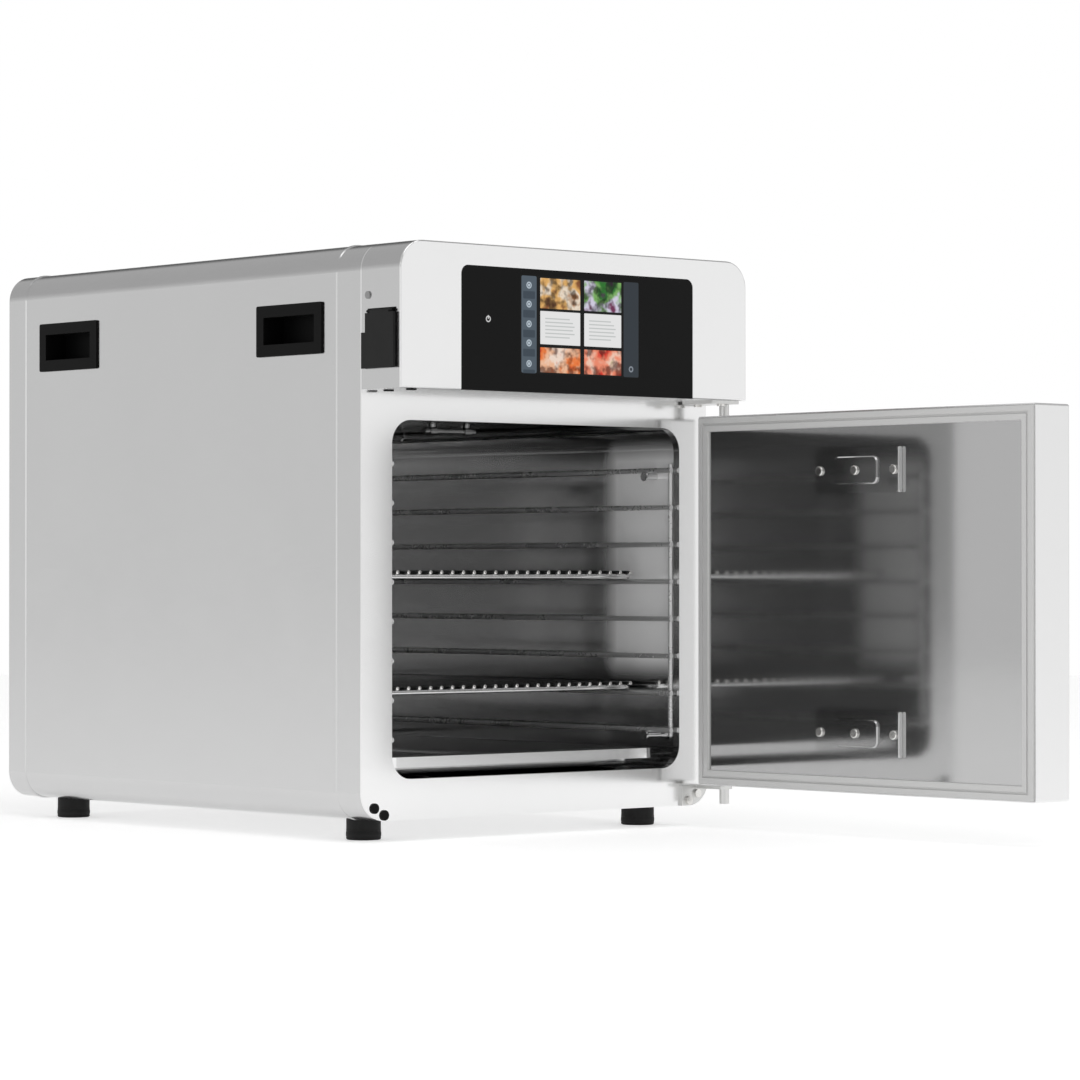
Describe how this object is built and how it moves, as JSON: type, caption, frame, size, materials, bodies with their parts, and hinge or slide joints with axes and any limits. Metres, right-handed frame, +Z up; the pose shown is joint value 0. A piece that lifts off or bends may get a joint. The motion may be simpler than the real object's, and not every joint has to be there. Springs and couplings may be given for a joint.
{
  "type": "counter-top oven",
  "caption": "Compact counter-top low-temperature oven with touch control head, side-hinged solid door with sliding vents, wire shelves and drip pan.",
  "frame": {"origin": "middle of the four feet, on the surface that they stand on", "axes": "+X to the oven's right as one faces it, +Y to its rear, +Z up; the door stands open as stored"},
  "size_m": [0.4912, 1.0227, 0.5453],
  "materials": {
    "casing_steel": "satin, grain along the depth",
    "front_steel": "fine satin",
    "liner_steel": "bright annealed, near mirror",
    "rear_steel": "satin",
    "wire_chrome": "bright plated wire",
    "hinge_steel": "bright",
    "fastener_steel": "bright zinc",
    "black_plastic": "moulded, fine grain",
    "black_rubber": "matt",
    "grey_silicone": "matt",
    "nylon": "matt",
    "black_glass": "back-printed black, glossy",
    "display_black": "glossy",
    "circuit_green": "solder mask",
    "limiter_black": "moulded",
    "mineral_wool": "loose felt",
    "cable_jacket": "silicone jacket",
    "magnet_grey": "sintered"
  },
  "bodies": {
    "cabinet": {"air_sensor": "wire_chrome", "bottom_hinge_bracket": "hinge_steel", "bottom_hinge_pin": "hinge_steel", "bracket_screws": "fastener_steel", "cavity_insulation": "mineral_wool", "cavity_liner": "liner_steel", "control_board": "circuit_green", "control_deck": "rear_steel", "display_module": "display_black", "fan_frame": "black_plastic", "foot_left_front": "black_rubber", "foot_left_rear": "black_rubber", "foot_right_front": "black_rubber", "foot_right_rear": "black_rubber", "foot_screws": "fastener_steel", "front_frame": "front_steel", "glass_carrier": "black_plastic", "head_front_plate": "front_steel", "head_screws": "fastener_steel", "head_shroud": "casing_steel", "head_underside": "front_steel", "heating_cable": "cable_jacket", "hole_plugs": "black_plastic", "limit_thermostat": "limiter_black", "outer_casing": "casing_steel", "pocket_handle_left_front": "black_plastic", "pocket_handle_left_rear": "black_plastic", "pocket_handle_right_front": "black_plastic", "pocket_handle_right_rear": "black_plastic", "power_board": "circuit_green", "power_inlet": "black_plastic", "rack_studs": "wire_chrome", "rear_panel": "rear_steel", "rear_panel_screws": "fastener_steel", "side_rack_left": "wire_chrome", "side_rack_right": "wire_chrome", "terminal_block": "black_plastic", "top_hinge_bracket": "hinge_steel", "top_hinge_pin": "hinge_steel", "touch_glass": "black_glass", "usb_port": "black_plastic"},
    "fan_rotor": {"fan_rotor": "black_plastic"},
    "usb_flap": {"usb_flap": "black_rubber"},
    "door": {"door_shell": "front_steel", "door_liner": "liner_steel", "door_insulation": "mineral_wool", "door_gasket": "grey_silicone", "door_ducts": "hinge_steel", "door_magnets": "magnet_grey", "door_bushings": "nylon", "handle_bar": "hinge_steel", "handle_posts": "hinge_steel", "vent_covers": "liner_steel", "vent_screws": "fastener_steel", "outer_vent_grilles": "front_steel"},
    "upper_vent": {"upper_vent_slide": "liner_steel"},
    "lower_vent": {"lower_vent_slide": "liner_steel"},
    "upper_shelf": {"upper_shelf": "wire_chrome"},
    "lower_shelf": {"lower_shelf": "wire_chrome"},
    "drip_pan": {"drip_pan": "liner_steel"}
  },
  "joints": [
    {"name": "door_hinge", "type": "hinge", "parent": "cabinet", "child": "door", "pos_m": [0.2089, -0.3154, 0.21855], "axis": [0, 0, 1], "range_deg": [-90.4, 89.6]},
    {"name": "upper_vent_travel", "type": "slide", "parent": "door", "child": "upper_vent", "axis": [0.007, -1, 0], "range_m": [0, 0.014]},
    {"name": "lower_vent_travel", "type": "slide", "parent": "door", "child": "lower_vent", "axis": [0.007, -1, 0], "range_m": [0, 0.014]},
    {"name": "upper_shelf_travel", "type": "slide", "parent": "cabinet", "child": "upper_shelf", "axis": [0, -1, 0], "range_m": [0, 0.3]},
    {"name": "lower_shelf_travel", "type": "slide", "parent": "cabinet", "child": "lower_shelf", "axis": [0, -1, 0], "range_m": [0, 0.3]},
    {"name": "drip_pan_travel", "type": "slide", "parent": "cabinet", "child": "drip_pan", "axis": [0, -1, 0], "range_m": [0, 0.3]},
    {"name": "usb_flap_hinge", "type": "hinge", "parent": "cabinet", "child": "usb_flap", "pos_m": [-0.2174, -0.31005, 0.481], "axis": [0, 1, 0], "range_deg": [0, 100]},
    {"name": "fan_spin", "type": "hinge", "parent": "cabinet", "child": "fan_rotor", "pos_m": [-0.11, 0.2678, 0.4825], "axis": [0, 1, 0], "continuous": true}
  ]
}
